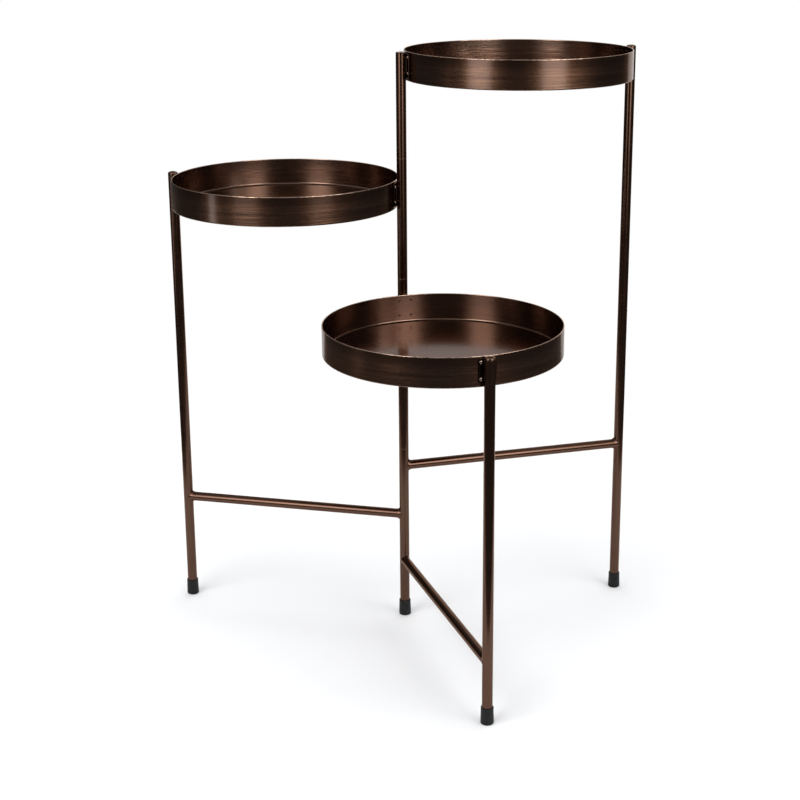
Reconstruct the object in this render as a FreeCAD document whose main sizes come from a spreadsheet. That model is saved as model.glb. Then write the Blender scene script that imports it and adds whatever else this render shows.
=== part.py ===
import FreeCAD, Part
import os
import Sketcher
from FreeCAD import Placement, Rotation, Vector

# Folding three-tier plant stand. Three upright frames swivel about one centre post. Each frame
# is a round tray held between a short length of post tube and an outer leg, with a cross bar
# near the floor. The lengths of post tube are stacked on a spindle and turn about it.
# Origin: the post axis at floor level, +Z up. Millimetres and degrees.

SIZES = {
    # round tube of the post, the legs and the cross bars
    "tube_diameter": 12.0,
    "tube_wall": 1.2,
    "bar_diameter": 11.5,
    "bar_wall": 1.2,
    # trays
    "tray_diameter": 272.0,
    "tray_depth": 34.0,
    "tray_sheet": 1.2,
    # the three frames: rim height, cross bar height and the way each one points
    "tall_rim_height": 711.0,
    "middle_rim_height": 560.0,
    "low_rim_height": 423.0,
    "tall_bar_height": 202.0,
    "middle_bar_height": 137.0,
    "low_bar_height": 74.5,
    "tall_angle": 18.2,
    "middle_angle": 169.5,
    "low_angle": 291.6,
    # where one length of post tube ends and the next begins
    "tall_sleeve_lift": 27.5,
    "middle_sleeve_lift": 19.0,
    "tall_collar_rise": 22.5,
    "middle_collar_rise": 17.5,
    "low_collar_rise": 9.5,
    "low_collar_drop": 9.0,
    "swivel_play": 0.1,
    "spindle_clearance": 0.08,
    # weld runs above and below a cross bar where it meets a tube
    "weld_rise": 2.5,
    "weld_length": 4.5,
    "weld_width": 8.0,
    "weld_radius": 6.0,
    # bracket between a tray wall and a tube
    "plate_thickness": 2.0,
    "plate_width": 20.0,
    "plate_length": 28.0,
    "plate_drop": 2.0,
    "plate_corner": 2.5,
    "seat_width": 7.2,
    "seat_height": 1.0,
    "seat_inset": 3.0,
    # caps on the tubes
    "cap_drop": 1.5,
    "cap_height": 3.0,
    "cap_stem_length": 8.0,
    "screw_diameter": 6.0,
    "screw_length": 16.0,
    "screw_head_height": 1.5,
    "screw_hole_spare": 3.0,
    # rubber feet
    "foot_height": 20.0,
    "foot_floor": 3.0,
    "foot_diameter": 14.8,
}

doc = FreeCAD.newDocument("tiered_plant_stand")
sheet = doc.addObject("Spreadsheet::Sheet", "Sizes")
for row, (alias, size) in enumerate(SIZES.items(), start=1):
    sheet.set(f"A{row}", alias.replace("_", " "))
    sheet.set(f"B{row}", str(size))
    sheet.setAlias(f"B{row}", alias)
doc.recompute()

# Sizes that follow from the driving ones, as expressions
TUBE = "(Sizes.tube_diameter / 2)"
TUBE_BORE = "(Sizes.tube_diameter / 2 - Sizes.tube_wall)"
SPINDLE = f"({TUBE_BORE} - Sizes.spindle_clearance)"
TRAY = "(Sizes.tray_diameter / 2)"
TRAY_INSIDE = f"({TRAY} - Sizes.tray_sheet)"
PLATE_OUTSIDE = f"({TRAY} + Sizes.plate_thickness)"
TRAY_REACH = f"({PLATE_OUTSIDE} + {TUBE})"
LEG_REACH = f"(2 * {TRAY_REACH})"
POST_TOP = "(Sizes.tall_rim_height - Sizes.cap_drop)"

# Heights at which the lengths of post tube part, from the top down
TALL_SEAM = "(Sizes.middle_rim_height + Sizes.tall_sleeve_lift)"
MIDDLE_SEAM = "(Sizes.low_rim_height + Sizes.middle_sleeve_lift)"
TALL_BAR_SEAM = "(Sizes.tall_bar_height + Sizes.tall_collar_rise)"
MIDDLE_BAR_SEAM = "(Sizes.middle_bar_height + Sizes.middle_collar_rise)"
LOW_BAR_SEAM = "(Sizes.low_bar_height + Sizes.low_collar_rise)"
FOOT_SEAM = "(Sizes.low_bar_height - Sizes.low_collar_drop)"

subParts = []


def value(expression):
    """The number an expression gives, without its unit."""
    result = sheet.evalExpression(expression)
    return float(getattr(result, "Value", result))


def place(piece, reach, height, facing):
    """Puts a piece at a distance from the post axis, at a height, turned about +Z."""
    piece.Placement = Placement(Vector(), Rotation(Vector(0, 0, 1), 1))
    piece.setExpression("Placement.Base.x", f"{reach} * cos({facing})")
    piece.setExpression("Placement.Base.y", f"{reach} * sin({facing})")
    piece.setExpression("Placement.Base.z", height)
    piece.setExpression("Placement.Rotation.Angle", facing)


def newBody(label, reach, height, facing):
    body = doc.addObject("PartDesign::Body", label)
    body.Label = label
    place(body, reach, height, facing)
    subParts.append(body)
    return body


def originFeature(body, role):
    return next(item for item in body.Origin.OriginFeatures if item.Role == role)


def newSketch(body, name, plane):
    sketch = body.newObject("Sketcher::SketchObject", name)
    sketch.AttachmentSupport = (originFeature(body, plane), [""])
    sketch.MapMode = "FlatFace"
    return sketch


def hold(sketch, kind, elements, expression, name):
    """Adds a dimension to a sketch and binds it to an expression."""
    index = sketch.addConstraint(Sketcher.Constraint(kind, *elements, value(expression)))
    sketch.renameConstraint(index, name)
    sketch.setExpression(f"Constraints.{name}", expression)


def addCircle(sketch, radius, name, across="0", up="0"):
    centre = Vector(value(across), value(up), 0)
    circle = sketch.addGeometry(Part.Circle(centre, Vector(0, 0, 1), value(radius)), False)
    hold(sketch, "Radius", (circle,), radius, f"{name}_radius")
    hold(sketch, "DistanceX", (-1, 1, circle, 3), across, f"{name}_across")
    hold(sketch, "DistanceY", (-1, 1, circle, 3), up, f"{name}_up")


def arcBetween(start, end, radius, turn):
    """An arc of the given radius from start to end, with its centre to the left of the way
    from start to end where turn is 1, and to the right where it is -1."""
    half = (end - start) * 0.5
    depth = max(radius**2 - half.Length**2, 0.0) ** 0.5
    side = Vector(-half.y, half.x, 0).normalize() * turn
    centre = start + half + side * depth
    middle = centre - side * radius
    return Part.Arc(start, middle, end)


def endAt(sketch, edge, point):
    """1 or 2: the end of an edge that lies at the point."""
    gaps = [(sketch.getPoint(edge, end) - point).Length for end in (1, 2)]
    return 1 + gaps.index(min(gaps))


def addOutline(sketch, corners, name="corner"):
    """A closed outline. Each corner is (across, up), or (across, up, radius, turn) where an arc
    leads from it to the next corner. Every corner and radius is bound to its expression."""
    points = [Vector(value(corner[0]), value(corner[1]), 0) for corner in corners]
    edges = []
    for index, corner in enumerate(corners):
        start = points[index]
        end = points[(index + 1) % len(points)]
        if len(corner) == 4:
            curve = arcBetween(start, end, value(corner[2]), corner[3])
        else:
            curve = Part.LineSegment(start, end)
        edges.append(sketch.addGeometry(curve, False))
    for index, corner in enumerate(corners):
        edge = edges[index]
        before = edges[index - 1]
        vertex = endAt(sketch, edge, points[index])
        meeting = endAt(sketch, before, points[index])
        sketch.addConstraint(Sketcher.Constraint("Coincident", before, meeting, edge, vertex))
        hold(sketch, "DistanceX", (-1, 1, edge, vertex), corner[0], f"{name}_{index}_across")
        hold(sketch, "DistanceY", (-1, 1, edge, vertex), corner[1], f"{name}_{index}_up")
        if len(corner) == 4:
            hold(sketch, "Radius", (edge,), corner[2], f"{name}_{index}_radius")


def addRectangle(sketch, left, right, bottom, top, name="corner"):
    addOutline(sketch, [(left, bottom), (right, bottom), (right, top), (left, top)], name)


def pad(body, sketch, length):
    feature = body.newObject("PartDesign::Pad", sketch.Name + "_pad")
    feature.Profile = sketch
    feature.setExpression("Length", length)
    return feature


def cutThrough(body, sketch):
    """Cuts a sketch's outline through the whole piece, both ways from its plane."""
    feature = body.newObject("PartDesign::Pocket", sketch.Name + "_cut")
    feature.Profile = sketch
    feature.Type = "ThroughAll"
    feature.SideType = "Symmetric"
    return feature


def turn(body, sketch, axis):
    """Turns a profile a full circle about one of its sketch's own axes."""
    feature = body.newObject("PartDesign::Revolution", sketch.Name + "_turned")
    feature.Profile = sketch
    feature.ReferenceAxis = (sketch, [axis])
    feature.Angle = 360.0
    return feature


def makeRing(label, outside, inside, bottom, top):
    """A length of round tube on the post axis, from one height to another."""
    body = newBody(label, "0", bottom, "0")
    sketch = newSketch(body, "ring", "XY_Plane")
    addCircle(sketch, outside, "outside")
    addCircle(sketch, inside, "inside")
    pad(body, sketch, f"{top} - {bottom}")
    return body


def makeSleeve(label, seamBelow, top):
    """A length of post tube that starts just above the seam below it."""
    return makeRing(label, TUBE, TUBE_BORE, f"({seamBelow} + Sizes.swivel_play)", top)


def makeSpindle():
    """The rod inside the post: a tight fit in the lowest length of tube, a running fit in the
    rest, and bored at the top for the cap screw."""
    body = newBody("spindle", "0", "Sizes.foot_floor", "0")
    sketch = newSketch(body, "profile", "XZ_Plane")
    shoulder = f"({FOOT_SEAM} - Sizes.foot_floor)"
    top = f"({POST_TOP} - Sizes.foot_floor)"
    boreEnd = f"{top} - Sizes.screw_length - Sizes.screw_hole_spare"
    bore = "(Sizes.screw_diameter / 2)"
    addOutline(
        sketch,
        [
            ("0", "0"),
            (TUBE_BORE, "0"),
            (TUBE_BORE, shoulder),
            (SPINDLE, shoulder),
            (SPINDLE, top),
            (bore, top),
            (bore, boreEnd),
            ("0", boreEnd),
        ],
    )
    turn(body, sketch, "V_Axis")


def makePostCapScrew():
    """The flat-headed screw that closes the post and keeps the stack on the spindle."""
    body = newBody("post_cap_screw", "0", POST_TOP, "0")
    sketch = newSketch(body, "profile", "XZ_Plane")
    shank = "Sizes.screw_diameter / 2"
    top = "Sizes.screw_head_height"
    addOutline(
        sketch,
        [
            ("0", "-Sizes.screw_length"),
            (shank, "-Sizes.screw_length"),
            (shank, "0"),
            (TUBE, "0"),
            (TUBE, top),
            ("0", top),
        ],
    )
    turn(body, sketch, "V_Axis")


def makeLeg(frame):
    body = newBody(f"{frame['name']}_leg", LEG_REACH, "Sizes.foot_floor", frame["angle"])
    sketch = newSketch(body, "ring", "XY_Plane")
    addCircle(sketch, TUBE, "outside")
    addCircle(sketch, TUBE_BORE, "inside")
    pad(body, sketch, f"{frame['rim']} - Sizes.cap_drop - Sizes.foot_floor")


def makeLegCap(frame):
    """A plug: its head covers the end of the tube and its stem fits inside."""
    height = f"{frame['rim']} - Sizes.cap_drop"
    body = newBody(f"{frame['name']}_leg_cap", LEG_REACH, height, frame["angle"])
    sketch = newSketch(body, "profile", "XZ_Plane")
    addOutline(
        sketch,
        [
            ("0", "-Sizes.cap_stem_length"),
            (TUBE_BORE, "-Sizes.cap_stem_length"),
            (TUBE_BORE, "0"),
            (TUBE, "0"),
            (TUBE, "Sizes.cap_height"),
            ("0", "Sizes.cap_height"),
        ],
    )
    turn(body, sketch, "V_Axis")


def makeFoot(label, reach, facing):
    """A rubber cup pushed over the end of a tube."""
    body = newBody(label, reach, "0", facing)
    sketch = newSketch(body, "profile", "XZ_Plane")
    outside = "Sizes.foot_diameter / 2"
    addOutline(
        sketch,
        [
            ("0", "0"),
            (outside, "0"),
            (outside, "Sizes.foot_height"),
            (TUBE, "Sizes.foot_height"),
            (TUBE, "Sizes.foot_floor"),
            ("0", "Sizes.foot_floor"),
        ],
    )
    turn(body, sketch, "V_Axis")


def makeCrossBar(frame):
    """A round cross bar from the post to the leg, saddled to fit both tubes, with a hollow
    weld run that rises above it and below it at each end."""
    body = newBody(f"{frame['name']}_cross_bar", "0", frame["bar"], frame["angle"])
    bar = "(Sizes.bar_diameter / 2)"
    section = newSketch(body, "section", "YZ_Plane")
    addCircle(section, bar, "bar")
    pad(body, section, LEG_REACH)
    weldEnd = f"({TUBE} + Sizes.weld_length)"
    addWelds(body, "post_weld", bar, "0", TUBE, weldEnd, -1)
    addWelds(body, "leg_weld", bar, LEG_REACH, f"({LEG_REACH} - {TUBE})", f"({LEG_REACH} - {weldEnd})", 1)

    saddles = newSketch(body, "saddles", "XY_Plane")
    addCircle(saddles, TUBE, "post")
    addCircle(saddles, TUBE, "leg", LEG_REACH)
    cutThrough(body, saddles)

    bore = newSketch(body, "bore", "YZ_Plane")
    addCircle(bore, f"{bar} - Sizes.bar_wall", "bore")
    cutThrough(body, bore)


def addWelds(body, name, bar, start, face, end, hollow):
    """The weld runs at one end of a cross bar. They start inside the tube, are tallest on its
    face, and sink into the round of the bar at their own end."""
    top = f"({bar} + Sizes.weld_rise)"
    foot = f"sqrt({bar}^2 - (Sizes.weld_width / 2)^2)"
    sketch = newSketch(body, name, "XZ_Plane")
    addOutline(
        sketch,
        [
            (start, f"-{top}"),
            (face, f"-{top}", "Sizes.weld_radius", hollow),
            (end, f"-{foot}"),
            (end, foot, "Sizes.weld_radius", hollow),
            (face, top),
            (start, top),
        ],
    )
    weld = pad(body, sketch, "Sizes.weld_width")
    weld.SideType = "Symmetric"


def makeTray(frame):
    """A shallow pan turned from one profile: a flat floor and an upright wall. Its own zero
    height is the rim."""
    body = newBody(f"{frame['name']}_tray", TRAY_REACH, frame["rim"], frame["angle"])
    sketch = newSketch(body, "profile", "XZ_Plane")
    under = "-Sizes.tray_depth"
    floor = "Sizes.tray_sheet - Sizes.tray_depth"
    addOutline(
        sketch,
        [
            ("0", under),
            (TRAY, under),
            (TRAY, "0"),
            (TRAY_INSIDE, "0"),
            (TRAY_INSIDE, floor),
            ("0", floor),
        ],
    )
    turn(body, sketch, "V_Axis")


def makeBracket(label, frame, reach, facing):
    """A plate bent to the tray wall, with the weld seat that takes the tube. It is drawn on
    the +X side of the tray axis, and its own zero height is the rim."""
    body = newBody(label, reach, frame["rim"], facing)
    half = "(Sizes.plate_width / 2)"
    corner = "Sizes.plate_corner"
    top = "-Sizes.plate_drop"
    bottom = "(-Sizes.plate_drop - Sizes.plate_length)"
    plate = newSketch(body, "plate", "YZ_Plane")
    addOutline(
        plate,
        [
            (f"-{half}", f"{bottom} + {corner}"),
            (f"{corner} - {half}", bottom),
            (f"{half} - {corner}", bottom),
            (half, f"{bottom} + {corner}"),
            (half, f"{top} - {corner}"),
            (f"{half} - {corner}", top),
            (f"{corner} - {half}", top),
            (f"-{half}", f"{top} - {corner}"),
        ],
    )
    pad(body, plate, PLATE_OUTSIDE)

    outside = newSketch(body, "outside", "XY_Plane")
    addCircle(outside, PLATE_OUTSIDE, "plate")
    addCircle(outside, f"{PLATE_OUTSIDE} + Sizes.plate_width", "clear")
    cutThrough(body, outside)

    inside = newSketch(body, "inside", "XY_Plane")
    addCircle(inside, TRAY, "tray")
    cutThrough(body, inside)

    seat = newSketch(body, "seat", "YZ_Plane")
    seat.setExpression("AttachmentOffset.Base.z", f"{TRAY} + Sizes.plate_thickness / 2")
    seatHalf = "(Sizes.seat_width / 2)"
    low = f"{bottom} + Sizes.seat_inset"
    high = f"{top} - Sizes.seat_inset"
    addRectangle(seat, f"-{seatHalf}", seatHalf, low, high)
    pad(body, seat, "Sizes.plate_thickness / 2 + Sizes.seat_height")

    tube = newSketch(body, "tube", "XY_Plane")
    addCircle(tube, TUBE, "tube", TRAY_REACH)
    cutThrough(body, tube)



def makeFrame(frame):
    """A frame's own pieces, apart from its lengths of post tube."""
    name = frame["name"]
    makeTray(frame)
    makeLeg(frame)
    makeLegCap(frame)
    makeCrossBar(frame)
    makeFoot(f"{name}_foot", LEG_REACH, frame["angle"])
    for side, reach, facing in (
        ("leg", TRAY_REACH, frame["angle"]),
        ("post", f"-{TRAY_REACH}", f"({frame['angle']} + 180)"),
    ):
        makeBracket(f"{name}_{side}_bracket", frame, reach, facing)


FRAMES = [
    {
        "name": name,
        "rim": f"Sizes.{name}_rim_height",
        "bar": f"Sizes.{name}_bar_height",
        "angle": f"Sizes.{name}_angle",
    }
    for name in ("tall", "middle", "low")
]
for frame in FRAMES:
    makeFrame(frame)

# the post from the top down: three lengths that carry trays, three that carry cross bars
# and the one that stands in the rubber foot
makeSleeve("tall_post_sleeve", TALL_SEAM, POST_TOP)
makeSleeve("middle_post_sleeve", MIDDLE_SEAM, TALL_SEAM)
makeSleeve("low_post_sleeve", TALL_BAR_SEAM, MIDDLE_SEAM)
makeSleeve("tall_bar_sleeve", MIDDLE_BAR_SEAM, TALL_BAR_SEAM)
makeSleeve("middle_bar_sleeve", LOW_BAR_SEAM, MIDDLE_BAR_SEAM)
makeSleeve("low_bar_sleeve", FOOT_SEAM, LOW_BAR_SEAM)
makeRing("post_foot_tube", TUBE, TUBE_BORE, "Sizes.foot_floor", FOOT_SEAM)
makeSpindle()
makePostCapScrew()
makeFoot("post_foot", "0", "0")

doc.recompute()
failed = [item.Name for item in doc.Objects if {"Invalid", "Error"} & set(item.State)]
for piece in subParts:
    if piece.Shape.isNull() or not piece.Shape.isValid():
        failed.append(piece.Label)
if failed:
    raise SystemExit("these did not build: " + ", ".join(failed))

os.makedirs("parts", exist_ok=True)
for piece in subParts:
    piece.Shape.exportStep(f"parts/{piece.Label}.step")
print(f"{len(subParts)} sub-parts written")
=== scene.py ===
import bpy
import numpy as np
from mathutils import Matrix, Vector


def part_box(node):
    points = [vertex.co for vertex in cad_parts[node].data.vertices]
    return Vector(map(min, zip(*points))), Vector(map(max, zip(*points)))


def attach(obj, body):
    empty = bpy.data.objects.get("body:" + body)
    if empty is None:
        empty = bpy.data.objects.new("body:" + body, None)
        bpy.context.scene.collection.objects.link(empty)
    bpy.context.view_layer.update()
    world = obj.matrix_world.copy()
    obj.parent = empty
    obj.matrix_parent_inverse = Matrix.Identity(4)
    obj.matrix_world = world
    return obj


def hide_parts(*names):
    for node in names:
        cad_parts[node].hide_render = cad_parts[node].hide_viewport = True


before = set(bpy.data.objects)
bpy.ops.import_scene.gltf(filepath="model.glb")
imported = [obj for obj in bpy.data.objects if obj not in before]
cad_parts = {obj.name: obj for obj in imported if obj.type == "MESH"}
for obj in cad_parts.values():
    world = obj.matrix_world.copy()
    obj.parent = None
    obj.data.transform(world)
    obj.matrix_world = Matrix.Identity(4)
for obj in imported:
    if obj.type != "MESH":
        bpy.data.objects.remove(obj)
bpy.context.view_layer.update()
frameNames = ("tall", "middle", "low")
print("frame loaded:", len(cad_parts), "nodes")


def middleOf(node):
    low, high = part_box(node)
    return np.array([(low.x + high.x) / 2, (low.y + high.y) / 2, 0.0])


def heightsOf(node):
    low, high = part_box(node)
    return low.z, high.z


def halfWidthOf(node):
    low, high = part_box(node)
    return round((high.x - low.x) / 2, 4)  # rounded, so that the facets of a circle don't show


def roundedProfile(corners, steps=5, support=0.00025, fade=0.0012, shoulderWear=0.4):
    # A profile of straight runs: each corner is (radius from axis, height, rounding, wear).
    # A rounding is an arc tangent to both runs: its centre lies rounding / sin(half angle) from
    # the corner along the bisector. A point close to each arc keeps the runs flat in shading,
    # and one a little further on ends the wear. Gives rows of (radius, height, wear, length).
    places = np.array([corner[:2] for corner in corners], float)
    rows = []
    for index, (radius, height, rounding, wear) in enumerate(corners):
        here = places[index]
        if rounding == 0:
            rows.append((radius, height, wear))
            continue
        back = places[index - 1] - here
        onward = places[(index + 1) % len(corners)] - here
        backRoom, onwardRoom = np.hypot(*back) / 2, np.hypot(*onward) / 2
        back, onward = back / np.hypot(*back), onward / np.hypot(*onward)
        halfAngle = np.arccos(np.clip(back @ onward, -1, 1)) / 2
        reach = rounding / np.tan(halfAngle)
        bisector = (back + onward) / np.hypot(*(back + onward))
        centre = here + bisector * rounding / np.sin(halfAngle)
        start, end = here + back * reach - centre, here + onward * reach - centre
        sweep = np.pi - 2 * halfAngle
        ways = np.linspace(0, 1, steps + 1)[:, None]
        arc = centre + (np.sin((1 - ways) * sweep) * start + np.sin(ways * sweep) * end) / np.sin(sweep)
        before = [(fade, 0.0), (support, wear * shoulderWear)]
        rows += [(*(here + back * (reach + d)), w) for d, w in before if reach + d < backRoom]
        rows += [(*point, wear) for point in arc]
        rows += [(*(here + onward * (reach + d)), w) for d, w in before[::-1] if reach + d < onwardRoom]
    rows = np.array(rows, float)
    along = np.hypot(*np.diff(rows[:, :2], axis=0).T)
    length = np.concatenate([[0.0], np.cumsum(along)])
    return np.column_stack([rows, length])


def turned(profile, centre, sides, closed=False):
    # A turned surface: point(row, angle) = centre + (r cos angle, r sin angle, z).
    # The grain goes round the axis: (r cos angle, r sin angle, length along the profile).
    angle = np.linspace(0, 2 * np.pi, sides, endpoint=False)[None, :]
    radius, height, wear, length = (profile[:, i, None] for i in range(4))
    flat = np.zeros_like(angle)
    local = np.stack([radius * np.cos(angle), radius * np.sin(angle), height + flat], axis=-1)
    grain = np.stack([local[..., 0], local[..., 1], length + flat], axis=-1)
    return {"points": local + centre, "grain": grain, "local": local, "wear": wear + flat,
            "closedRows": closed, "poles": (not closed, not closed)}


plainValues = {"wear": 0.0, "wall": 1.0, "inside": 0.0}     # where a surface gives none


def shell(surface):
    # Quads between neighbouring rows of a grid whose columns close into a ring. A pole row is
    # one vertex with a fan of triangles. A closed shell with a negative volume is turned over.
    points = surface["points"]
    rows, columns = points.shape[:2]
    index = np.arange(rows * columns).reshape(rows, columns)
    firstPole, lastPole = surface["poles"]
    if firstPole:
        index[0] = index[0, 0]
    if lastPole:
        index[-1] = index[-1, 0]
    below = index if surface["closedRows"] else index[:-1]
    above = np.roll(index, -1, axis=0) if surface["closedRows"] else index[1:]
    quads = np.stack([below, np.roll(below, -1, 1), np.roll(above, -1, 1), above], -1).reshape(-1, 4)
    used = np.unique(quads)
    renumber = np.zeros(rows * columns, int)
    renumber[used] = np.arange(len(used))
    quads = renumber[quads]
    flatPoints = points.reshape(-1, 3)[used]
    a, b, c, d = (flatPoints[quads[:, i]] for i in range(4))
    volume = np.sum(a * np.cross(b, c)) + np.sum(a * np.cross(c, d))
    if volume < 0:
        quads = quads[:, ::-1]
    fields = {key: surface[key].reshape(rows * columns, -1)[used] for key in ("grain", *plainValues)
              if key in surface}
    return flatPoints, quads, fields


def makePiece(name, surfaces, material, body, replaced=()):
    # One mesh of several closed shells, with its grain, wear, wall and inside attributes.
    points, quads, grain, values, count = [], [], [], {key: [] for key in plainValues}, 0
    for surface in surfaces:
        shellPoints, shellQuads, fields = shell(surface)
        points.append(shellPoints)
        quads.append(shellQuads + count)
        grain.append(fields["grain"])
        for key, plain in plainValues.items():
            values[key].append(fields[key][:, 0] if key in fields else np.full(len(shellPoints), plain))
        count += len(shellPoints)
    points, quads = np.concatenate(points), np.concatenate(quads)
    twins = np.roll(quads, 1, axis=1) == quads          # a fan's triangle repeats one corner
    sizes = 4 - twins.sum(axis=1)
    corners = quads[~twins]
    mesh = bpy.data.meshes.new(name)
    mesh.vertices.add(len(points))
    mesh.vertices.foreach_set("co", points.astype(np.float32).ravel())
    mesh.loops.add(len(corners))
    mesh.loops.foreach_set("vertex_index", corners.astype(np.int32))
    mesh.polygons.add(len(sizes))
    starts = np.concatenate([[0], np.cumsum(sizes)[:-1]])
    mesh.polygons.foreach_set("loop_start", starts.astype(np.int32))
    mesh.polygons.foreach_set("use_smooth", np.ones(len(sizes), bool))
    mesh.update(calc_edges=True)
    mesh.validate()
    mesh.attributes.new("grain", "FLOAT_VECTOR", "POINT").data.foreach_set(
        "vector", np.concatenate(grain).astype(np.float32).ravel())
    for key, parts in values.items():
        mesh.attributes.new(key, "FLOAT", "POINT").data.foreach_set(
            "value", np.concatenate(parts).astype(np.float32))
    mesh.materials.append(material)
    piece = bpy.data.objects.new(name, mesh)
    bpy.context.collection.objects.link(piece)
    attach(piece, body)
    if replaced:
        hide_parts(*replaced)


def startGroup(name, inputs, outputs):
    group = bpy.data.node_groups.new(name, "ShaderNodeTree")
    for socketName, kind, value in inputs:
        socket = group.interface.new_socket(socketName, in_out="INPUT", socket_type=kind)
        if value is not None:
            socket.default_value = value
    for socketName, kind in outputs:
        group.interface.new_socket(socketName, in_out="OUTPUT", socket_type=kind)
    return group, group.nodes.new("NodeGroupInput"), group.nodes.new("NodeGroupOutput")


def addNode(tree, kind, settings=None, **inputs):
    node = tree.nodes.new(kind)
    for key, value in (settings or {}).items():
        setattr(node, key, value)
    for key, value in inputs.items():
        socket = node.inputs[int(key[1:])] if key[0] == "i" and key[1:].isdigit() else node.inputs[key]
        if isinstance(value, bpy.types.NodeSocket):
            tree.links.new(value, socket)
        else:
            socket.default_value = value
    return node


def evenRise(tree, value, start, end, low=0.0, high=1.0, kind="LINEAR"):
    # Goes from low, where the value is start, to high, where it is end, and stays there.
    node = addNode(tree, "ShaderNodeMapRange", {"interpolation_type": kind}, Value=value)
    for key, number in (("From Min", start), ("From Max", end), ("To Min", low), ("To Max", high)):
        node.inputs[key].default_value = number
    return node.outputs["Result"]


def smoothRise(tree, value, start, end, low=0.0, high=1.0):
    return evenRise(tree, value, start, end, low, high, "SMOOTHSTEP")


def product(tree, first, second):
    return addNode(tree, "ShaderNodeMath", {"operation": "MULTIPLY"}, i0=first, i1=second).outputs[0]


def colourMix(tree, share, first, second):
    mix = addNode(tree, "ShaderNodeMix", {"data_type": "RGBA"}, i0=share, i6=first, i7=second)
    return mix.outputs[2]


def attributeNode(tree, name):
    return addNode(tree, "ShaderNodeAttribute", {"attribute_name": name})


streakNoise = {
    "coarseScale": 1.0,
    "fineScale": 3.7,
    "fineShare": 0.45,
    "detail": 2.0,
    "roughness": 0.6,
    "spread": (0.3, 0.7),       # the noise from no streak to a full one
    "cloudDetail": 3.0,
    "cloudRoughness": 0.5,
}


def makeStreakGroup(noise):
    # Brushed streaks: noise on coordinates that are stretched along the brushing, in two sizes,
    # and a slow cloud of noise on the coordinates as they are.
    group, given, result = startGroup(
        "brushedStreaks",
        [("Vector", "NodeSocketVector", None), ("Stretch", "NodeSocketVector", (1.0, 1.0, 1.0)),
         ("Cloud Scale", "NodeSocketFloat", 20.0)],
        [("Streaks", "NodeSocketFloat"), ("Cloud", "NodeSocketFloat")])
    stretched = addNode(group, "ShaderNodeVectorMath", {"operation": "MULTIPLY"},
                        i0=given.outputs["Vector"], i1=given.outputs["Stretch"])
    coarse = addNode(group, "ShaderNodeTexNoise", None, Vector=stretched.outputs[0],
                     Scale=noise["coarseScale"], Detail=noise["detail"], Roughness=noise["roughness"])
    fine = addNode(group, "ShaderNodeTexNoise", None, Vector=stretched.outputs[0],
                   Scale=noise["fineScale"], Detail=noise["detail"], Roughness=noise["roughness"])
    both = addNode(group, "ShaderNodeMix", {"data_type": "FLOAT"}, i0=noise["fineShare"],
                   i2=coarse.outputs["Fac"], i3=fine.outputs["Fac"])
    streaks = evenRise(group, both.outputs[0], *noise["spread"])
    cloud = addNode(group, "ShaderNodeTexNoise", None, Vector=given.outputs["Vector"],
                    Scale=given.outputs["Cloud Scale"], Detail=noise["cloudDetail"],
                    Roughness=noise["cloudRoughness"])
    group.links.new(streaks, result.inputs["Streaks"])
    group.links.new(cloud.outputs["Fac"], result.inputs["Cloud"])
    return group


wearNoise = {
    "scale": 260.0,
    "detail": 3.0,
    "roughness": 0.6,
    "spread": (0.18, 0.5),      # wear times noise, from none to bare
}


def makeWearAndSheenGroup(look):
    # Edge wear and painted highlight: the wear attribute times fine noise, sharpened into a mask. On the
    # tray rims and rivet heads the mask paints a highlight.
    group, given, result = startGroup(
        "edgeWearAndSheen",
        [("Vector", "NodeSocketVector", None), ("Wear", "NodeSocketFloat", 0.0),
         ("Amount", "NodeSocketFloat", 0.6)],
        [("Mask", "NodeSocketFloat")])
    noise = addNode(group, "ShaderNodeTexNoise", None, Vector=given.outputs["Vector"],
                    Scale=look["scale"], Detail=look["detail"], Roughness=look["roughness"])
    broken = product(group, given.outputs["Wear"], noise.outputs["Fac"])
    mask = smoothRise(group, broken, *look["spread"])
    group.links.new(product(group, mask, given.outputs["Amount"]), result.inputs["Mask"])
    return group


streakGroup = makeStreakGroup(streakNoise)
wearAndSheenGroup = makeWearAndSheenGroup(wearNoise)


def startMaterial(name):
    material = bpy.data.materials.new(name)
    material.use_nodes = True
    tree = material.node_tree
    return material, tree, tree.nodes["Principled BSDF"]


def linkBump(tree, shader, height, look):
    bump = addNode(tree, "ShaderNodeBump", None, Height=height, Strength=look["bumpStrength"],
                   Distance=look["bumpDepth"])
    tree.links.new(bump.outputs["Normal"], shader.inputs["Normal"])


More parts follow.
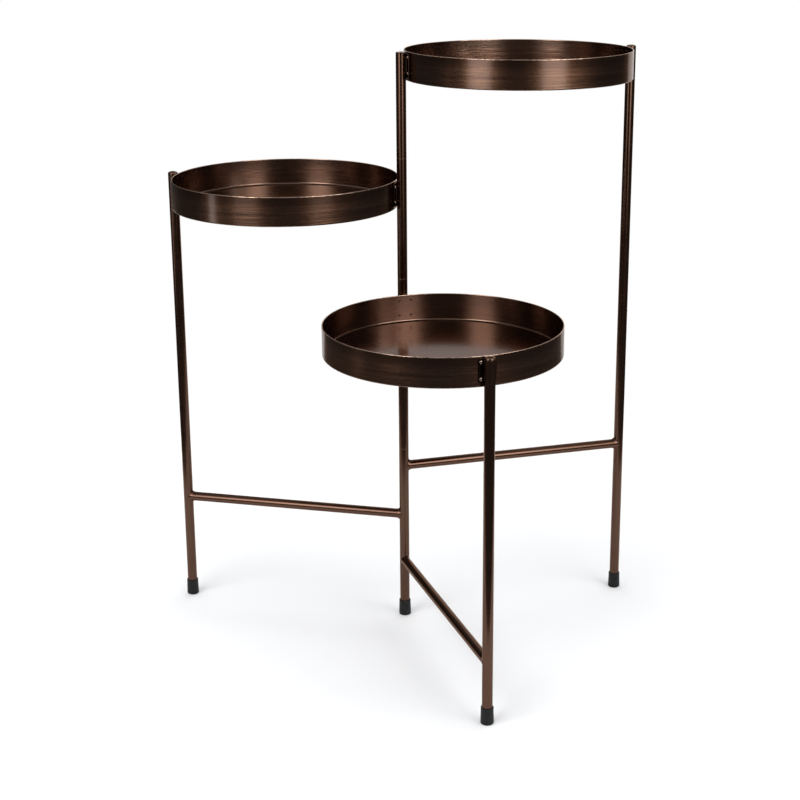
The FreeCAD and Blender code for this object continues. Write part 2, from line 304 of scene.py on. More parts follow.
def bronzeFinish(name, look):
    # Dark bronze under clear lacquer: the colour and roughness follow the brushing and a slow
    # cloud, and the brushing lifts the surface a little. The inside of a wall is painted paler, a
    # painted sheen, and is smoother. The edges are worn lighter, and on the tray rims and rivet heads
    # that lighter colour is also a painted highlight. The lighter streaks fade near the tray rims, a
    # painted shade there.
    material, tree, shader = startMaterial(name)
    grain = attributeNode(tree, "grain").outputs["Vector"]
    wear, wall, inside = (attributeNode(tree, key).outputs["Fac"] for key in plainValues)
    streaks = addNode(tree, "ShaderNodeGroup", {"node_tree": streakGroup}, Vector=grain,
                      Stretch=look["stretch"])
    streaks.inputs["Cloud Scale"].default_value = look["cloudScale"]
    wearAndSheen = addNode(tree, "ShaderNodeGroup", {"node_tree": wearAndSheenGroup}, Vector=grain, Wear=wear,
                   Amount=look["wearAmount"])
    # The wall attribute fades the lighter streaks near the tray rims: painted shade there, painted
    # highlight lower down.
    shownStreaks = product(tree, streaks.outputs["Streaks"], wall)
    streakShare = product(tree, shownStreaks, look["streakAmount"])
    colour = colourMix(tree, streaks.outputs["Cloud"], look["deepColour"], look["warmColour"])
    # painted sheen: the inner face of a wall is painted paler
    colour = colourMix(tree, inside, colour, look["insideSheenColour"])
    colour = colourMix(tree, streakShare, colour, look["streakColour"])
    # worn edges, and on the tray rims and rivet heads this pale colour is a painted highlight
    colour = colourMix(tree, wearAndSheen.outputs["Mask"], colour, look["wearAndSheenColour"])
    tree.links.new(colour, shader.inputs["Base Color"])
    roughness = evenRise(tree, streaks.outputs["Cloud"], *look["cloudSpread"], *look["roughness"])
    insideShare = evenRise(tree, inside, 0.0, 1.0, 1.0, look["insideRoughness"])
    tree.links.new(product(tree, roughness, insideShare), shader.inputs["Roughness"])
    linkBump(tree, shader, shownStreaks, look)
    shader.inputs["Metallic"].default_value = 1.0
    shader.inputs["Specular Tint"].default_value = look["edgeTint"]
    shader.inputs["Coat Weight"].default_value = look["coat"]
    shader.inputs["Coat Roughness"].default_value = look["coatRoughness"]
    return material


tubeLook = {
    "stretch": (800.0, 800.0, 2.5),       # brushed along the tube
    "cloudScale": 30.0,
    "cloudSpread": (0.3, 0.7),            # the cloud from the first roughness to the second
    "deepColour": (0.060, 0.0245, 0.0125, 1),
    "warmColour": (0.090, 0.040, 0.022, 1),
    "streakColour": (0.135, 0.072, 0.045, 1),
    # painted sheen: the paler colour painted on the inner face of a tray wall
    "insideSheenColour": (0.180, 0.115, 0.087, 1),
    "insideRoughness": 0.82,              # of what it is outside
    "streakAmount": 0.3,
    "wearAndSheenColour": (0.30, 0.19, 0.13, 1),
    "wearAmount": 0.35,
    "roughness": (0.17, 0.24),
    "edgeTint": (0.6, 0.45, 0.36, 1),
    "bumpStrength": 0.25,
    "bumpDepth": 0.00002,
    "coat": 0.4,
    "coatRoughness": 0.11,
}
trayLook = dict(
    tubeLook,
    stretch=(6.0, 6.0, 290.0),              # brushed round the wall
    cloudScale=14.0,
    deepColour=(0.042, 0.0170, 0.0088, 1),
    warmColour=(0.058, 0.0250, 0.0138, 1),
    streakColour=(0.190, 0.100, 0.062, 1),
    streakAmount=0.75,
    # wear and painted highlight: the tray rims take this pale colour for the bright line they catch, and
    # the lower edge is worn with it
    wearAndSheenColour=(0.60, 0.42, 0.32, 1),
    wearAmount=1.0,
    roughness=(0.26, 0.30),
    bumpStrength=1.0,
    bumpDepth=0.00014,
    coat=0.55,
    coatRoughness=0.14,
)
shadedPlateLook = dict(                           # painted shade: blacker, for the shade that falls on the plates beside the tubes
    tubeLook,
    deepColour=(0.014, 0.006, 0.0035, 1),
    warmColour=(0.024, 0.011, 0.006, 1),
    streakColour=(0.050, 0.026, 0.016, 1),
    wearAndSheenColour=(0.080, 0.045, 0.030, 1),
    wearAmount=0.4,
    coat=0.25,
)
rivetLook = dict(                           # painted highlight: heads painted paler than what they hold, for the glints on their domes
    tubeLook,
    wearAndSheenColour=(0.46, 0.36, 0.29, 1),
    wearAmount=1.0,
)
tubeBronze = bronzeFinish("tubeBronze", tubeLook)
shadedPlateBronze = bronzeFinish("shadedPlateBronze", shadedPlateLook)
rivetBronze = bronzeFinish("rivetBronze", rivetLook)
trayBronze = bronzeFinish("trayBronze", trayLook)


def rubberFinish(name, look):
    # Moulded black rubber: nearly black, a little paler where it is scuffed, with a fine pebble.
    material, tree, shader = startMaterial(name)
    place = addNode(tree, "ShaderNodeTexCoord")
    pebble = addNode(tree, "ShaderNodeTexNoise", None, Vector=place.outputs["Object"],
                     Scale=look["pebbleScale"], Detail=look["pebbleDetail"])
    scuff = addNode(tree, "ShaderNodeTexNoise", None, Vector=place.outputs["Object"],
                    Scale=look["scuffScale"], Detail=look["scuffDetail"],
                    Roughness=look["scuffRoughness"])
    scuffed = evenRise(tree, scuff.outputs["Fac"], *look["scuffSpread"])
    colour = colourMix(tree, scuffed, look["colour"], look["scuffColour"])
    tree.links.new(colour, shader.inputs["Base Color"])
    roughness = evenRise(tree, scuff.outputs["Fac"], 0.0, 1.0, *look["roughness"])
    tree.links.new(roughness, shader.inputs["Roughness"])
    linkBump(tree, shader, pebble.outputs["Fac"], look)
    shader.inputs["Specular IOR Level"].default_value = look["specular"]
    return material


footRubber = rubberFinish("footRubber", {
    "colour": (0.0035, 0.0035, 0.0038, 1),
    "scuffColour": (0.012, 0.012, 0.012, 1),
    "roughness": (0.42, 0.6),
    "specular": 0.25,
    "pebbleScale": 2600.0,
    "pebbleDetail": 2.0,
    "scuffScale": 180.0,
    "scuffDetail": 4.0,
    "scuffRoughness": 0.65,
    "scuffSpread": (0.45, 0.75),
    "bumpStrength": 0.35,
    "bumpDepth": 0.00006,
})


def steelFinish(name, look):
    # Drawn steel: pale metal with fine lines along its length.
    material, tree, shader = startMaterial(name)
    place = addNode(tree, "ShaderNodeTexCoord")
    streaks = addNode(tree, "ShaderNodeGroup", {"node_tree": streakGroup},
                      Vector=place.outputs["Object"], Stretch=look["stretch"])
    colour = colourMix(tree, streaks.outputs["Streaks"], look["darkColour"], look["paleColour"])
    tree.links.new(colour, shader.inputs["Base Color"])
    roughness = evenRise(tree, streaks.outputs["Cloud"], 0.0, 1.0, *look["roughness"])
    tree.links.new(roughness, shader.inputs["Roughness"])
    linkBump(tree, shader, streaks.outputs["Streaks"], look)
    shader.inputs["Metallic"].default_value = 1.0
    return material


spindleSteel = steelFinish("spindleSteel", {
    "stretch": (1800.0, 1800.0, 12.0),
    "darkColour": (0.36, 0.35, 0.34, 1),
    "paleColour": (0.55, 0.54, 0.52, 1),
    "roughness": (0.25, 0.4),
    "bumpStrength": 0.2,
    "bumpDepth": 0.00002,
})
print("finishes made")


trayShape = {
    "sheet": 0.0012,
    "rimRounding": 0.0005,
    "bottomRounding": 0.0012,
    "coveRounding": 0.0020,
    "shadedStreaksBelowRim": 0.005,     # the streaks are faint down to here, a painted shade at the top of the wall
    "litStreaksBelowRim": 0.014,   # and full from here, a painted highlight lower down
    "faintStreaksAndShade": 0.25,
    # the rims' wear is partly real wear and partly a painted highlight along the rim line
    "innerRimWearAndSheen": 1.0,
    "outerRimWearAndSheen": 0.9,
    "bottomWear": 0.5,
    "wallDepth": 0.0034,        # the wall and its rounding, in from the outside
    "sides": 256,
}


def trayProfile(shape, radius, bottom, rim):
    # From the middle of the floor outwards, up the inner wall, over the rim, down and back under.
    inner, floorTop = radius - shape["sheet"], bottom + shape["sheet"]
    plain, brushed = rim - shape["shadedStreaksBelowRim"], rim - shape["litStreaksBelowRim"]
    return roundedProfile([
        (0.0, floorTop, 0.0, 0.0),
        (inner, floorTop, shape["coveRounding"], 0.0),
        (inner, brushed, 0.0, 0.0),
        (inner, plain, 0.0, 0.0),
        (inner, rim, shape["rimRounding"], shape["innerRimWearAndSheen"]),
        (radius, rim, shape["rimRounding"], shape["outerRimWearAndSheen"]),
        (radius, plain, 0.0, 0.0),
        (radius, brushed, 0.0, 0.0),
        (radius, bottom, shape["bottomRounding"], shape["bottomWear"]),
        (0.0, bottom, 0.0, 0.0),
    ])


def makeTray(name):
    # The wall attribute is how strong the brushing streaks are. It grows downwards from the rim, so
    # that their lighter colour paints shade near the rim and a highlight lower down. The inside
    # attribute is 1 on the wall's inner face and 0 elsewhere, and there the finish paints a paler sheen.
    node = f"{name}_tray"
    shape = trayShape
    radius = halfWidthOf(node)
    bottom, rim = heightsOf(node)
    surface = turned(trayProfile(shape, radius, bottom, rim), middleOf(node), shape["sides"])
    x, y, height = (surface["local"][..., i] for i in range(3))
    inFromOutside = radius - np.hypot(x, y)
    onWall = inFromOutside < shape["wallDepth"]
    halfSheet = shape["sheet"] / 2
    surface["inside"] = (onWall & (inFromOutside > halfSheet) & (height > bottom + halfSheet)) * 1.0
    depths = (shape["shadedStreaksBelowRim"], shape["litStreaksBelowRim"])
    surface["wall"] = onWall * np.interp(rim - height, depths, (shape["faintStreaksAndShade"], 1.0))
    makePiece(f"{name}_tray_pan", [surface], trayBronze, f"{name}_frame", [node])


for name in frameNames:
    makeTray(name)
print("trays made")


tubeShape = {
    "radius": 0.006,
    "wall": 0.0012,
    "endRounding": 0.0003,
    "roundingSteps": 3,
    "sides": 64,
}


def tubeProfile(shape, bottom, top):
    # Up the outside from the lower end and down the bore, closed into a ring.
    outer, inner, rounding = shape["radius"], shape["radius"] - shape["wall"], shape["endRounding"]
    return roundedProfile([
        (inner, bottom, rounding, 0.0),
        (outer, bottom, rounding, 1.0),
        (outer, top, rounding, 1.0),
        (inner, top, rounding, 0.0),
    ], steps=shape["roundingSteps"])


def makeTube(pieceName, node, body):
    surface = turned(tubeProfile(tubeShape, *heightsOf(node)), middleOf(node), tubeShape["sides"], True)
    surface["grain"][..., 2] = surface["local"][..., 2]     # the brushing runs along the tube
    makePiece(pieceName, [surface], tubeBronze, body, [node])


plugShape = {
    "stemRadius": 0.00475,
    "stemRounding": 0.0004,
    "chamfer": 0.0002,
    "chamferWear": 0.4,
    "rimHeight": 0.0008,
    "domeSteps": 9,
    "domeWear": 0.9,
    "sides": 64,
}


def domeCorners(radius, rimTop, top, steps, wear):
    # A quarter ellipse from the rim to the crown: at turn t, (radius cos t, rimTop + rise sin t).
    turn = np.linspace(0, np.pi / 2, steps)[:-1]
    dome = [(radius * np.cos(t), rimTop + (top - rimTop) * np.sin(t), 0.0, wear) for t in turn]
    return dome + [(0.0, top, 0.0, wear)]


def makePlug(name):
    # A domed plug: a short rim, then a quarter ellipse to the top, with a stem down the tube.
    node = f"{name}_leg_cap"
    bottom, top = heightsOf(node)
    seat = heightsOf(f"{name}_leg")[1]
    shape, radius, chamfer = plugShape, tubeShape["radius"], plugShape["chamfer"]
    profile = roundedProfile([
        (0.0, bottom, 0.0, 0.0),
        (shape["stemRadius"], bottom, shape["stemRounding"], 0.0),
        (shape["stemRadius"], seat, 0.0, 0.0),
        (radius - chamfer, seat, 0.0, 0.0),
        (radius, seat + chamfer, 0.0, shape["chamferWear"]),
        *domeCorners(radius, seat + shape["rimHeight"], top, shape["domeSteps"], shape["domeWear"]),
    ])
    surface = turned(profile, middleOf(node), plugShape["sides"])
    makePiece(f"{name}_leg_plug", [surface], tubeBronze, f"{name}_frame", [node])


footShape = {
    "topRadius": 0.0071,
    "bottomRadius": 0.0076,
    "floor": 0.003,
    "lipRounding": 0.0004,
    "bottomRounding": 0.0017,
    "sides": 64,
}


def makeFoot(pieceName, node, body):
    # A rubber cup that widens towards the floor, with a rounded foot and a rounded lip.
    bottom, top = heightsOf(node)
    bore = tubeShape["radius"]
    profile = roundedProfile([
        (0.0, bottom, 0.0, 0.0),
        (footShape["bottomRadius"], bottom, footShape["bottomRounding"], 0.0),
        (footShape["topRadius"], top, footShape["lipRounding"], 0.0),
        (bore, top, 0.0, 0.0),
        (bore, bottom + footShape["floor"], 0.0, 0.0),
        (0.0, bottom + footShape["floor"], 0.0, 0.0),
    ])
    surface = turned(profile, middleOf(node), footShape["sides"])
    makePiece(pieceName, [surface], footRubber, body, [node])


for name in frameNames:
    body = f"{name}_frame"
    makeTube(f"{name}_leg_tube", f"{name}_leg", body)
    makeTube(f"{name}_post_tube", f"{name}_post_sleeve", body)
    makeTube(f"{name}_bar_collar", f"{name}_bar_sleeve", body)
    makePlug(name)
    makeFoot(f"{name}_rubber_foot", f"{name}_foot", body)
makeTube("post_foot_collar", "post_foot_tube", "tall_frame")
makeFoot("post_rubber_foot", "post_foot", "tall_frame")
print("tubes, plugs and feet made")


capShape = {
    "shankRadius": 0.003,
    "shankRounding": 0.0004,
    "edgeRounding": 0.0003,
    "socketAcross": 0.004,
    "socketDepth": 0.001,
    "socketLip": 0.00005,
    "socketWear": 0.5,
    "sides": 96,
}


def makeCapHead():
    # The flat head on the post: a turned head and shank, with a six-sided socket whose radius at
    # an angle is half its width across flats over the cosine of the angle from the nearest flat.
    node = "post_cap_screw"
    bottom, top = heightsOf(node)
    seat = heightsOf("tall_post_sleeve")[1]
    shape, radius = capShape, tubeShape["radius"]
    socket = shape["socketAcross"] / 2
    profile = roundedProfile([
        (0.0, bottom, 0.0, 0.0),
        (shape["shankRadius"], bottom, shape["shankRounding"], 0.0),
        (shape["shankRadius"], seat, 0.0, 0.0),
        (radius, seat, 0.0, 0.0),
        (radius, top, shape["edgeRounding"], 1.0),
        (socket, top, 0.0, shape["socketWear"]),
        (socket, top - shape["socketLip"], 0.0, 0.0),
        (socket, top - shape["socketDepth"], 0.0, 0.0),
        (0.0, top - shape["socketDepth"], 0.0, 0.0),
    ])
    surface = turned(profile, middleOf(node), shape["sides"])
    angle = np.arctan2(surface["local"][..., 1], surface["local"][..., 0])
    fromFlat = np.mod(angle, np.pi / 3) - np.pi / 6
    socketRows = slice(-4, -1)      # all of the socket but its middle
    stretch = 1 / np.cos(fromFlat[socketRows])[..., None]
    flatPlaces = surface["local"][socketRows, :, :2] * stretch
    surface["points"][socketRows, :, :2] = middleOf(node)[:2] + flatPlaces
    makePiece("post_cap_head", [surface], tubeBronze, "tall_frame", [node])


makeCapHead()
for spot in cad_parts["spindle"].material_slots:
    spot.material = spindleSteel
print("post made")


barShape = {
    "radius": 0.00575,
    "sink": 0.0002,            # how far the ends go into the tubes
    "flareRise": 0.0018,       # weld above and below the bar
    "flareReach": 0.0045,
    "flareHalfWidth": 0.0046,
    "beadRise": 0.0005,        # weld all round
    "ripples": ((0.10, 5, 1.3), (0.06, 11, 0.0)),      # of the weld: share, count, start
    "weldWear": 0.5,
    "endRows": 14,
    "endSpread": 1.3,          # how far the end rows reach, in weld reaches
    "middleRows": 22,
    "sides": 64,
}


def makeCrossBar(name):
    # A bar between two round tubes. At angle a round it and distance d from the nearer tube,
    # its radius is r + bead (1 - d / reach)^2, its height also gains a flare
    # rise (1 - d / reach)^2 (1 - (y / halfWidth)^2), and its ends lie on the tubes' round
    # faces, sqrt(R^2 - y^2) from their axes.
    shape = barShape
    node = f"{name}_cross_bar"
    low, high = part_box(node)
    post, leg = middleOf(f"{name}_bar_sleeve"), middleOf(f"{name}_leg")
    span = leg - post
    length = np.hypot(span[0], span[1])
    ahead = span / length
    aside = np.array([-ahead[1], ahead[0], 0.0])
    height = (low.z + high.z) / 2
    clear = length - 2 * tubeShape["radius"]
    nearEnd = shape["flareReach"] * np.linspace(0, shape["endSpread"], shape["endRows"])
    middle = np.linspace(nearEnd[-1], clear - nearEnd[-1], shape["middleRows"])[1:-1]
    fromPost = np.concatenate([nearEnd, middle, clear - nearEnd[::-1]]) / clear
    angle = np.linspace(0, 2 * np.pi, shape["sides"], endpoint=False)[None, :]
    y = shape["radius"] * np.cos(angle)
    saddle = np.sqrt(tubeShape["radius"] ** 2 - y ** 2) - shape["sink"]
    x = saddle + fromPost[:, None] * (length - 2 * saddle)
    distance = np.minimum(x - saddle, length - saddle - x)
    fall = np.clip(1 - distance / shape["flareReach"], 0, 1) ** 2
    ripple = 1 + sum(share * np.sin(count * angle + start) for share, count, start in shape["ripples"])
    crown = np.clip(1 - (y / shape["flareHalfWidth"]) ** 2, 0, 1)
    bead = shape["beadRise"] * fall * ripple
    y = y + bead * np.cos(angle)
    z = (shape["radius"] + bead + shape["flareRise"] * fall * crown * ripple) * np.sin(angle)
    local = np.stack([x, y, z], axis=-1)
    local = np.pad(local, ((1, 1), (0, 0), (0, 0)))
    local[0, :, 0] = saddle.min()
    local[-1, :, 0] = length - saddle.min()
    placed = post + local[..., :1] * ahead + local[..., 1:2] * aside
    placed[..., 2] += height + local[..., 2]
    wear = np.pad(fall, ((1, 1), (0, 0))) * shape["weldWear"]
    surface = {"points": placed, "grain": local[..., [1, 2, 0]], "wear": wear,
               "closedRows": False, "poles": (True, True)}
    makePiece(f"{name}_bar_tube", [surface], tubeBronze, f"{name}_frame", [node])


for name in frameNames:
    makeCrossBar(name)
print("cross bars made")


plateShape = {
    "width": 0.020,
    "height": 0.028,
    "thickness": 0.002,
    "corner": 0.0025,
    "edgeRounding": 0.0005,
    "edgeSteps": 5,
    "edgeSupport": 0.0002,     # a row close to the edge that keeps the face flat in shading
    "drawnIn": (0.85, 0.6, 0.35, 0.0),     # the outline's rows towards the middle of a face
    "shoulderWear": 0.5,
    "seatHeight": 0.022,
    "beadRadius": 0.0009,
    "beadAside": 0.0039,       # from the tube's middle line
    "beadOut": 0.0005,         # from the plate's face
    "beadRipple": 0.10,
    "rippleLength": 0.0021,
    "beadWear": 0.3,
    "beadRows": 61,
    "beadSides": 16,
}
rivetShape = {
    "radius": 0.002,
    "height": 0.00125,
    "rim": 0.0003,
    "headSheen": 2.0,           # painted highlight all over the head
    "tailRadius": 0.0016,
    "tailHeight": 0.0004,
    "tailRim": 0.0001,
    "aside": 0.0072,           # from the plate's middle
    "rowsBelowRim": (0.006, 0.0245),
    "sunk": 0.0003,            # into what it sits on
    "domeSteps": 8,
    "sides": 32,
}


def roundedRectangle(halfWidth, halfHeight, corner, arcSteps=6, runSteps=6):
    # Four quarter circles and the straight runs between them, as rows of (across, up).
    arcs = []
    for quarter, (signX, signY) in enumerate(((1, 1), (-1, 1), (-1, -1), (1, -1))):
        turn = np.pi / 2 * (quarter + np.linspace(0, 1, arcSteps + 1))
        arcs.append(np.column_stack([signX * (halfWidth - corner) + corner * np.cos(turn),
                                     signY * (halfHeight - corner) + corner * np.sin(turn)]))
    ways = np.linspace(0, 1, runSteps + 1)[1:-1, None]
    runs = [arcs[i][-1] * (1 - ways) + arcs[(i + 1) % 4][0] * ways for i in range(4)]
    return np.concatenate([part for pair in zip(arcs, runs) for part in pair])


def bentToWall(across, out, up, centre, direction, radius):
    # A flat drawing bent round the tray: across is length along the wall, out is from its face.
    angle = direction + across / radius
    reach = radius + out
    return np.stack([centre[0] + reach * np.cos(angle), centre[1] + reach * np.sin(angle), up], axis=-1)


def plateSurface(centre, direction, radius, middleHeight):
    # The plate's outline carried inwards over its rounded edge, then drawn in to the middle of
    # each face.
    shape = plateShape
    rounding, thickness, drawnIn = shape["edgeRounding"], shape["thickness"], shape["drawnIn"]
    turn = np.linspace(0, np.pi / 2, shape["edgeSteps"])
    insets = [0.0, *(rounding * (1 - np.cos(turn))), rounding + shape["edgeSupport"]]
    depths = [0.0, *(thickness - rounding * (1 - np.sin(turn))), thickness]
    wears = [0.0] + [1.0] * len(turn) + [shape["shoulderWear"]]
    outlines = [roundedRectangle(shape["width"] / 2 - inset, shape["height"] / 2 - inset,
                                 shape["corner"] - inset) for inset in insets]
    outlines = [outlines[0] * s for s in drawnIn[::-1]] + outlines + [outlines[-1] * s for s in drawnIn]
    depths = [0.0] * len(drawnIn) + depths + [thickness] * len(drawnIn)
    wears = [0.0] * len(drawnIn) + wears + [0.0] * len(drawnIn)
    flat = np.stack(outlines)
    out = np.broadcast_to(np.array(depths)[:, None], flat.shape[:2])
    wear = np.broadcast_to(np.array(wears)[:, None], flat.shape[:2])
    points = bentToWall(flat[..., 0], out, flat[..., 1] + middleHeight, centre, direction, radius)
    grain = np.stack([flat[..., 0], out, flat[..., 1]], axis=-1)
    return {"points": points, "grain": grain, "wear": wear, "closedRows": False, "poles": (True, True)}


def beadSurface(centre, direction, radius, middleHeight, side):
    # A weld bead up one side of the tube: a circle carried upwards, whose radius swells with each
    # ripple of the weld and closes at both ends as (1 - s^6)^0.5.
    shape = plateShape
    half = shape["seatHeight"] / 2
    s = np.linspace(-1, 1, shape["beadRows"])[:, None]
    ripple = 1 + shape["beadRipple"] * np.sin(2 * np.pi * s * half / shape["rippleLength"] + side)
    size = shape["beadRadius"] * ripple * np.sqrt(np.clip(1 - s ** 6, 0, 1))
    angle = np.linspace(0, 2 * np.pi, shape["beadSides"], endpoint=False)[None, :]
    across = side * shape["beadAside"] + size * np.cos(angle)
    out = shape["thickness"] + shape["beadOut"] + size * np.sin(angle)
    up = middleHeight + s * half + 0 * angle
    points = bentToWall(across, out, up, centre, direction, radius)
    grain = np.stack([across, out, up], axis=-1)
    return {"points": points, "grain": grain, "wear": np.full(across.shape, shape["beadWear"]),
            "closedRows": False, "poles": (True, True)}


def rivetSurface(profile, centre, direction, radius, across, up, facing):
    # A turned head laid on the wall: its axis points out of the wall, or in for a tail.
    local = turned(profile, np.zeros(3), rivetShape["sides"])
    x, y, z = (local["local"][..., i] for i in range(3))
    points = bentToWall(across + x, facing * z, up + y, centre, direction, radius)
    return dict(local, points=points)


def rivetProfile(radius, height, rim, wear):
    # A short rim under a dome.
    return roundedProfile([
        (0.0, -rivetShape["sunk"], 0.0, 0.0),
        (radius, -rivetShape["sunk"], 0.0, 0.0),
        *domeCorners(radius, rim, height, rivetShape["domeSteps"], wear),
    ])


def makeBracket(name, place):
    node = f"{name}_{place}_bracket"
    tray = f"{name}_tray"
    centre, radius, rim = middleOf(tray), halfWidthOf(tray), heightsOf(tray)[1]
    low, high = heightsOf(node)
    target = middleOf(f"{name}_leg" if place == "leg" else f"{name}_post_sleeve")
    direction = np.arctan2(target[1] - centre[1], target[0] - centre[0])
    middleHeight = (low + high) / 2
    surfaces = [plateSurface(centre, direction, radius, middleHeight)]
    surfaces += [beadSurface(centre, direction, radius, middleHeight, side) for side in (-1, 1)]
    # painted shade: the plates take the blacker finish
    makePiece(f"{name}_{place}_plate", surfaces, shadedPlateBronze, f"{name}_frame", [node])
    shape = rivetShape
    head = rivetProfile(shape["radius"], shape["height"], shape["rim"], shape["headSheen"])
    tail = rivetProfile(shape["tailRadius"], shape["tailHeight"], shape["tailRim"], 0.0)
    rivets = []
    for below in shape["rowsBelowRim"]:
        for side in (-1, 1):
            across = side * shape["aside"]
            rivets.append(rivetSurface(head, centre, direction, radius + plateShape["thickness"],
                                       across, rim - below, 1))
            rivets.append(rivetSurface(tail, centre, direction, radius - trayShape["sheet"],
                                       across, rim - below, -1))
    makePiece(f"{name}_{place}_rivets", rivets, rivetBronze, f"{name}_frame")


for name in frameNames:
    for place in ("leg", "post"):
        makeBracket(name, place)
print("brackets and rivets made")


def seenDirectly(tree):
    # 1 for the camera's rays, mirrored or not, and 0 for those that bring soft light.
    path = addNode(tree, "ShaderNodeLightPath")
    total = path.outputs["Is Camera Ray"]
    for kind in ("Is Glossy Ray", "Is Transmission Ray"):
        total = addNode(tree, "ShaderNodeMath", {"operation": "MAXIMUM"}, i0=total,
                        i1=path.outputs[kind]).outputs[0]
    return total


worldLook = {"light": (0.95, 0.97, 1.0, 1), "strength": 0.62, "white": (1.0, 1.0, 1.0, 1)}


def makeWorld():
    # White to the eye and in mirrors, and a weaker, cooler white as light.
    world = bpy.data.worlds.new("studioWorld")
    bpy.context.scene.world = world
    world.use_nodes = True
    tree = world.node_tree
    tree.nodes.clear()
    light = addNode(tree, "ShaderNodeBackground", None, Color=worldLook["light"],
                    Strength=worldLook["strength"])
    white = addNode(tree, "ShaderNodeBackground", None, Color=worldLook["white"], Strength=1.0)
    mixed = addNode(tree, "ShaderNodeMixShader", None, Fac=seenDirectly(tree), i1=light.outputs[0],
                    i2=white.outputs[0])
    addNode(tree, "ShaderNodeOutputWorld", None, Surface=mixed.outputs[0])


rayKinds = ("camera", "diffuse", "glossy", "transmission", "volume_scatter", "shadow")


def makeStagePiece(name, points, faces, material, seenBy):
    # A flat piece of the studio, seen by the named kinds of ray alone.
    mesh = bpy.data.meshes.new(name)
    mesh.from_pydata([tuple(p) for p in points], [], [tuple(f) for f in faces])
    mesh.update()
    mesh.materials.append(material)
    piece = bpy.data.objects.new(name, mesh)
    bpy.context.collection.objects.link(piece)
    for kind in rayKinds:
        setattr(piece, f"visible_{kind}", kind in seenBy)


floorLook = {
    "radius": 1.05,
    "sides": 96,
    "fadeFrom": 0.72,
    "fadeTo": 0.98,
    "colour": (0.93, 0.93, 0.93, 1),
    "roughness": 0.8,
}


def makeFloor():
    # A pale paper disc that runs out into the white surround: the share of plain white grows with
    # the distance from the post.
    material, tree, shader = startMaterial("paperFloor")
    shader.inputs["Base Color"].default_value = floorLook["colour"]
    shader.inputs["Roughness"].default_value = floorLook["roughness"]
    place = addNode(tree, "ShaderNodeTexCoord")
    distance = addNode(tree, "ShaderNodeVectorMath", {"operation": "LENGTH"}, i0=place.outputs["Object"])
    fade = smoothRise(tree, distance.outputs["Value"], floorLook["fadeFrom"], floorLook["fadeTo"])
    share = product(tree, fade, seenDirectly(tree))
    white = addNode(tree, "ShaderNodeEmission", None, Strength=1.0)
    mixed = addNode(tree, "ShaderNodeMixShader", None, Fac=share, i1=shader.outputs[0],
                    i2=white.outputs[0])
    tree.links.new(mixed.outputs[0], tree.nodes["Material Output"].inputs["Surface"])
    angle = np.linspace(0, 2 * np.pi, floorLook["sides"], endpoint=False)
    rim = np.column_stack([np.cos(angle), np.sin(angle), 0 * angle]) * floorLook["radius"]
    makeStagePiece("paper_floor", rim, [range(len(rim))], material, rayKinds)


def glowMaterial(name, colour, strength):
    # Plain light, with its tree and emission node for a strength that varies.
    material = bpy.data.materials.new(name)
    material.use_nodes = True
    tree = material.node_tree
    tree.nodes.clear()
    glow = addNode(tree, "ShaderNodeEmission", None, Color=colour, Strength=strength)
    addNode(tree, "ShaderNodeOutputMaterial", None, Surface=glow.outputs[0])
    return material, tree, glow


def objectHeight(tree):
    # The height above the ground, since every object is at the origin.
    place = addNode(tree, "ShaderNodeTexCoord")
    return addNode(tree, "ShaderNodeSeparateXYZ", None, Vector=place.outputs["Object"]).outputs["Z"]


def softGlow(name, look, aside):
    # A card's glow: it grows from its bottom edge up to a full height, and away from both sides.
    material, tree, glow = glowMaterial(name, look["colour"], look["strength"])
    place = addNode(tree, "ShaderNodeTexCoord")
    across = addNode(tree, "ShaderNodeVectorMath", {"operation": "DOT_PRODUCT"},
                     i0=place.outputs["Object"], i1=tuple(aside))
    fromMiddle = addNode(tree, "ShaderNodeMath", {"operation": "ABSOLUTE"}, i0=across.outputs["Value"])
    grown = smoothRise(tree, objectHeight(tree), look["low"], look["full"])
    side = look["width"] / 2
    inwards = smoothRise(tree, fromMiddle.outputs[0], side, side * (1 - look["softness"]))
    strength = product(tree, product(tree, grown, inwards), look["strength"])
    tree.links.new(strength, glow.inputs["Strength"])
    return material


cardLook = {
    "colour": (1.0, 0.98, 0.95, 1),
    "distance": 1.6,
    "width": 0.90,
    "softness": 0.55,       # the share of each half that fades
    "low": 0.12,
    "full": 0.85,           # the height from which it glows fully
    "high": 1.7,
    "strength": 5.8,
}
softboxes = {               # the bearing is from the front (-Y) towards +X
    "softbox_right": dict(cardLook, bearing=38),
    "softbox_left": dict(cardLook, bearing=-35),
    "softbox_side": dict(cardLook, bearing=-70, distance=1.1, width=0.20, softness=0.9, low=0.14,
                         full=0.28, high=0.42, strength=3.6),
    "softbox_high": dict(cardLook, bearing=61, distance=1.5, width=0.46, softness=0.5, low=0.7,
                         full=0.9, high=1.3, strength=7.0),
}


def makeSoftbox(name, look):
    bearing = np.radians(look["bearing"])
    towards = np.array([np.sin(bearing), -np.cos(bearing), 0.0])
    aside = np.array([np.cos(bearing), np.sin(bearing), 0.0])
    places = [(-1, look["low"]), (-1, look["high"]), (1, look["high"]), (1, look["low"])]
    corners = [towards * look["distance"] + aside * side * look["width"] / 2 + (0, 0, height)
               for side, height in places]
    makeStagePiece(name, corners, [(0, 1, 2, 3)], softGlow(name, look, aside), ("glossy",))


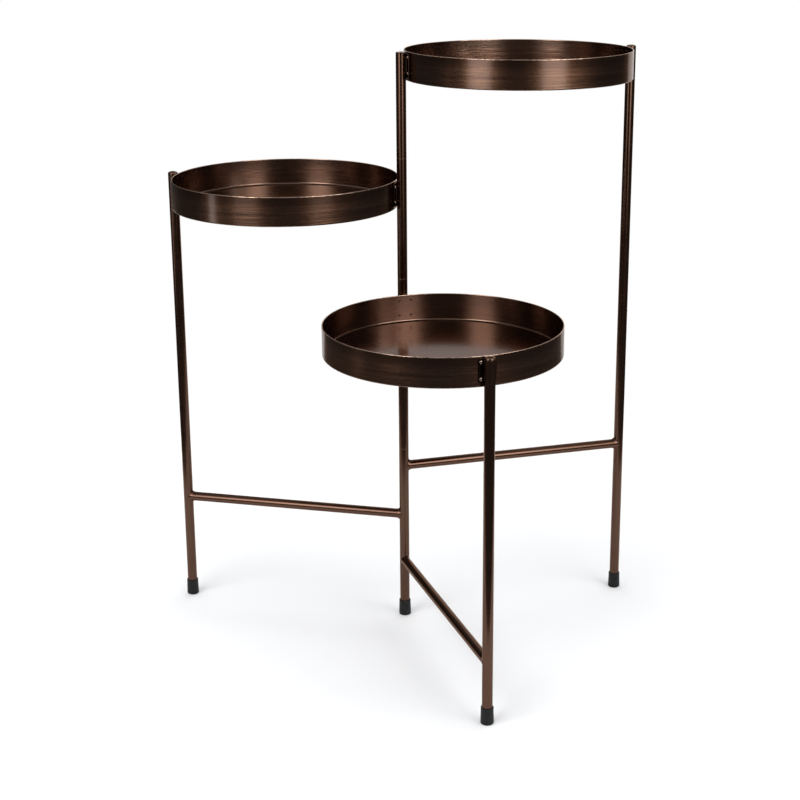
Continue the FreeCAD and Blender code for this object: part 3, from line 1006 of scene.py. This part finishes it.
surroundLook = {                    # the gaps are degrees to either side of straight behind
    "ring": {"inner": 0.80, "middle": (0.0, 0.30, 0.001), "gapLeft": 45.0, "gapRight": 45.0},
    "wall": {"radius": 2.6, "height": 2.9, "gapLeft": 14.0, "gapRight": 45.0},
    "ringGlow": 0.11,
    "wallGlow": (0.08, 0.50),       # dark up to one height, then lighter up to another
    "wallRise": (1.2, 2.9),
    "ceilingGlow": 0.5,
    "steps": 72,
}


def makeArc(look):
    # Points of a unit circle from one side of the gap behind the set round the front to the other.
    start = np.radians(90 + look["gapLeft"])
    end = np.radians(450 - look["gapRight"])
    angle = np.linspace(start, end, surroundLook["steps"] + 1)
    return np.column_stack([np.cos(angle), np.sin(angle), 0 * angle])


def makeStrip(name, firstRow, secondRow, material):
    # Quads between two rows of as many points.
    start = np.arange(len(firstRow) - 1)
    quads = np.column_stack([start, start + 1, start + 1 + len(firstRow), start + len(firstRow)])
    makeStagePiece(name, np.concatenate([firstRow, secondRow]), quads.tolist(), material, ("glossy",))


def makeSurround():
    # Dark cards round the set, open behind it: a ring on the ground, a wall and a dim ceiling.
    look, ring, wall = surroundLook, surroundLook["ring"], surroundLook["wall"]
    white = (1.0, 1.0, 1.0, 1)
    dark = glowMaterial("darkCard", white, look["ringGlow"])[0]
    dim = glowMaterial("dimCard", white, look["ceilingGlow"])[0]
    rising, tree, glow = glowMaterial("risingCard", white, 1.0)
    strength = smoothRise(tree, objectHeight(tree), *look["wallRise"], *look["wallGlow"])
    tree.links.new(strength, glow.inputs["Strength"])
    arc = makeArc(ring)
    outer = arc * wall["radius"] + (0, 0, ring["middle"][2])
    makeStrip("dark_ring", arc * ring["inner"] + ring["middle"], outer, dark)
    arc = makeArc(wall) * wall["radius"]
    makeStrip("dark_wall", arc, arc + (0, 0, wall["height"]), rising)
    makeStagePiece("dim_ceiling", arc + (0, 0, wall["height"]), [range(len(arc))], dim, ("glossy",))


lampAim = (0.0, 0.0, 0.35)
lampLook = {
    "key": {"place": (-1.3, -1.5, 2.3), "size": 1.6, "power": 34.0},
    "fill": {"place": (1.5, -1.2, 2.0), "size": 1.6, "power": 20.0},
    "top": {"place": (0.0, 0.4, 2.6), "size": 2.2, "power": 30.0},
}


def makeLamp(name, look):
    data = bpy.data.lights.new(name, "AREA")
    data.shape = "SQUARE"
    data.size = look["size"]
    data.energy = look["power"]
    lamp = bpy.data.objects.new(name, data)
    lamp.location = look["place"]
    aim = Vector(lampAim) - lamp.location
    lamp.rotation_euler = aim.to_track_quat("-Z", "Y").to_euler()
    lamp.visible_camera = False
    lamp.visible_glossy = False
    bpy.context.collection.objects.link(lamp)


makeWorld()
makeFloor()
makeSurround()
for name, look in softboxes.items():
    makeSoftbox(name, look)
for name, look in lampLook.items():
    makeLamp(name, look)
print("floor and lights made")


cameraLook = {
    "place": (0.10474, -1.76807, 0.87191),
    "pitchDown": 15.544,
    "yaw": -1.726,
    "lens": 68.035,
    "sensor": 36.0,
    "shift": (-0.0565, -0.09),
    "clip": (0.01, 50.0),
}


def makeCamera(look):
    data = bpy.data.cameras.new("photoCamera")
    data.lens = look["lens"]
    data.sensor_width = look["sensor"]
    data.shift_x, data.shift_y = look["shift"]
    data.clip_start, data.clip_end = look["clip"]
    camera = bpy.data.objects.new("photoCamera", data)
    camera.location = look["place"]
    camera.rotation_euler = (np.radians(90 - look["pitchDown"]), 0.0, np.radians(-look["yaw"]))
    bpy.context.collection.objects.link(camera)
    bpy.context.scene.camera = camera


makeCamera(cameraLook)
bpy.context.scene.view_settings.view_transform = "Standard"
print("camera made")
